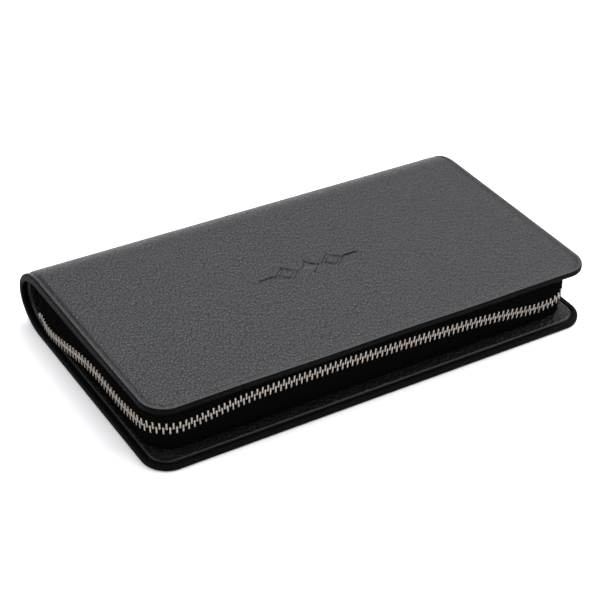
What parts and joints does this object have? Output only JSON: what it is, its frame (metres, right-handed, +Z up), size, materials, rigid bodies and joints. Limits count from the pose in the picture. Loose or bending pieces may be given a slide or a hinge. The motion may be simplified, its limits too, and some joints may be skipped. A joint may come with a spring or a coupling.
{
  "type": "travel document organizer",
  "caption": "Zip-around travel document organizer in pebbled black leather with a metal zip, folding flat open onto pockets and card slots.",
  "frame": {"origin": "centre of the footprint, on the surface that the back cover rests on", "axes": "+X along the spine, -Y towards the zipped front edge, +Y towards the spine, +Z up through the front cover"},
  "size_m": [0.23, 0.131, 0.0305],
  "materials": {
    "outer_leather": "pebbled, satin",
    "facing_leather": "pebbled, satin",
    "pocket_leather": "pebbled, satin",
    "lining_fabric": "twill, matte",
    "zip_tape": "herringbone, matte",
    "cover_board": "matte",
    "zip_teeth_metal": "antique nickel",
    "slider_metal": "antique nickel, polished"
  },
  "bodies": {
    "back_cover": {"back_leather": "outer_leather", "back_board": "cover_board", "back_facing": "facing_leather", "back_lining": "lining_fabric", "lower_zip_tape": "zip_tape", "lower_zip_teeth": "zip_teeth_metal", "lower_top_stop": "zip_teeth_metal", "zip_bottom_stop": "zip_teeth_metal", "ticket_pocket": "pocket_leather", "ticket_pocket_gusset": "lining_fabric", "passport_pocket": "pocket_leather", "passport_pocket_gusset": "lining_fabric", "side_pocket": "pocket_leather"},
    "spine_lower": {"spine_leather_lower": "outer_leather", "spine_lining_lower": "lining_fabric"},
    "spine_middle": {"spine_leather_middle": "outer_leather", "spine_lining_middle": "lining_fabric"},
    "spine_upper": {"spine_leather_upper": "outer_leather", "spine_lining_upper": "lining_fabric"},
    "front_cover": {"front_leather": "outer_leather", "front_board": "cover_board", "front_facing": "facing_leather", "front_lining": "lining_fabric", "upper_zip_tape": "zip_tape", "upper_zip_teeth": "zip_teeth_metal", "upper_top_stop": "zip_teeth_metal", "zip_pocket_panel": "pocket_leather", "zip_pocket_top_strip": "pocket_leather", "zip_pocket_gusset": "lining_fabric", "pocket_zip_tapes": "zip_tape", "pocket_zip_teeth": "zip_teeth_metal", "pocket_zip_stops": "zip_teeth_metal", "card_slot_left_1": "pocket_leather", "card_slot_left_2": "pocket_leather", "card_slot_left_3": "pocket_leather", "card_slot_left_4": "pocket_leather", "card_slot_right_1": "pocket_leather", "card_slot_right_2": "pocket_leather", "card_slot_right_3": "pocket_leather", "card_slot_right_4": "pocket_leather"},
    "zip_slider": {"zip_slider": "slider_metal"},
    "zip_pull": {"zip_pull": "slider_metal"},
    "pocket_zip_slider": {"pocket_zip_slider": "slider_metal"},
    "pocket_zip_pull": {"pocket_zip_pull": "slider_metal"}
  },
  "joints": [
    {"name": "spine_fold_1", "type": "hinge", "parent": "back_cover", "child": "spine_lower", "pos_m": [0, 0.0445, 0], "axis": [-1, 0, 0], "range_deg": [0, 22.5]},
    {"name": "spine_fold_2", "type": "hinge", "parent": "spine_lower", "child": "spine_middle", "pos_m": [0, 0.06258, 0.00749], "axis": [-1, 0, 0], "range_deg": [0, 67.5]},
    {"name": "spine_fold_3", "type": "hinge", "parent": "spine_middle", "child": "spine_upper", "pos_m": [0, 0.06258, 0.02301], "axis": [-1, 0, 0], "range_deg": [0, 67.5]},
    {"name": "spine_fold_4", "type": "hinge", "parent": "spine_upper", "child": "front_cover", "pos_m": [0, 0.0445, 0.0305], "axis": [-1, 0, 0], "range_deg": [0, 22.5]},
    {"name": "zip_slide", "type": "slide", "parent": "back_cover", "child": "zip_slider", "axis": [0, -1, 0], "range_m": [0, 0.081]},
    {"name": "zip_pull_hinge", "type": "hinge", "parent": "zip_slider", "child": "zip_pull", "pos_m": [0.1136, 0.0435, 0.01525], "axis": [0, 0, 1], "range_deg": [0, 170]},
    {"name": "pocket_zip_slide", "type": "slide", "parent": "front_cover", "child": "pocket_zip_slider", "axis": [1, 0, 0], "range_m": [0, 0.176]},
    {"name": "pocket_zip_pull_hinge", "type": "hinge", "parent": "pocket_zip_slider", "child": "pocket_zip_pull", "pos_m": [-0.088, 0.034, 0.02071], "axis": [0, 1, 0], "range_deg": [0, 170]}
  ],
  "couplings": [
    {"joint": "spine_fold_2", "follows": "spine_fold_1", "ratio": 3},
    {"joint": "spine_fold_3", "follows": "spine_fold_1", "ratio": 3},
    {"joint": "spine_fold_4", "follows": "spine_fold_1", "ratio": 1}
  ]
}
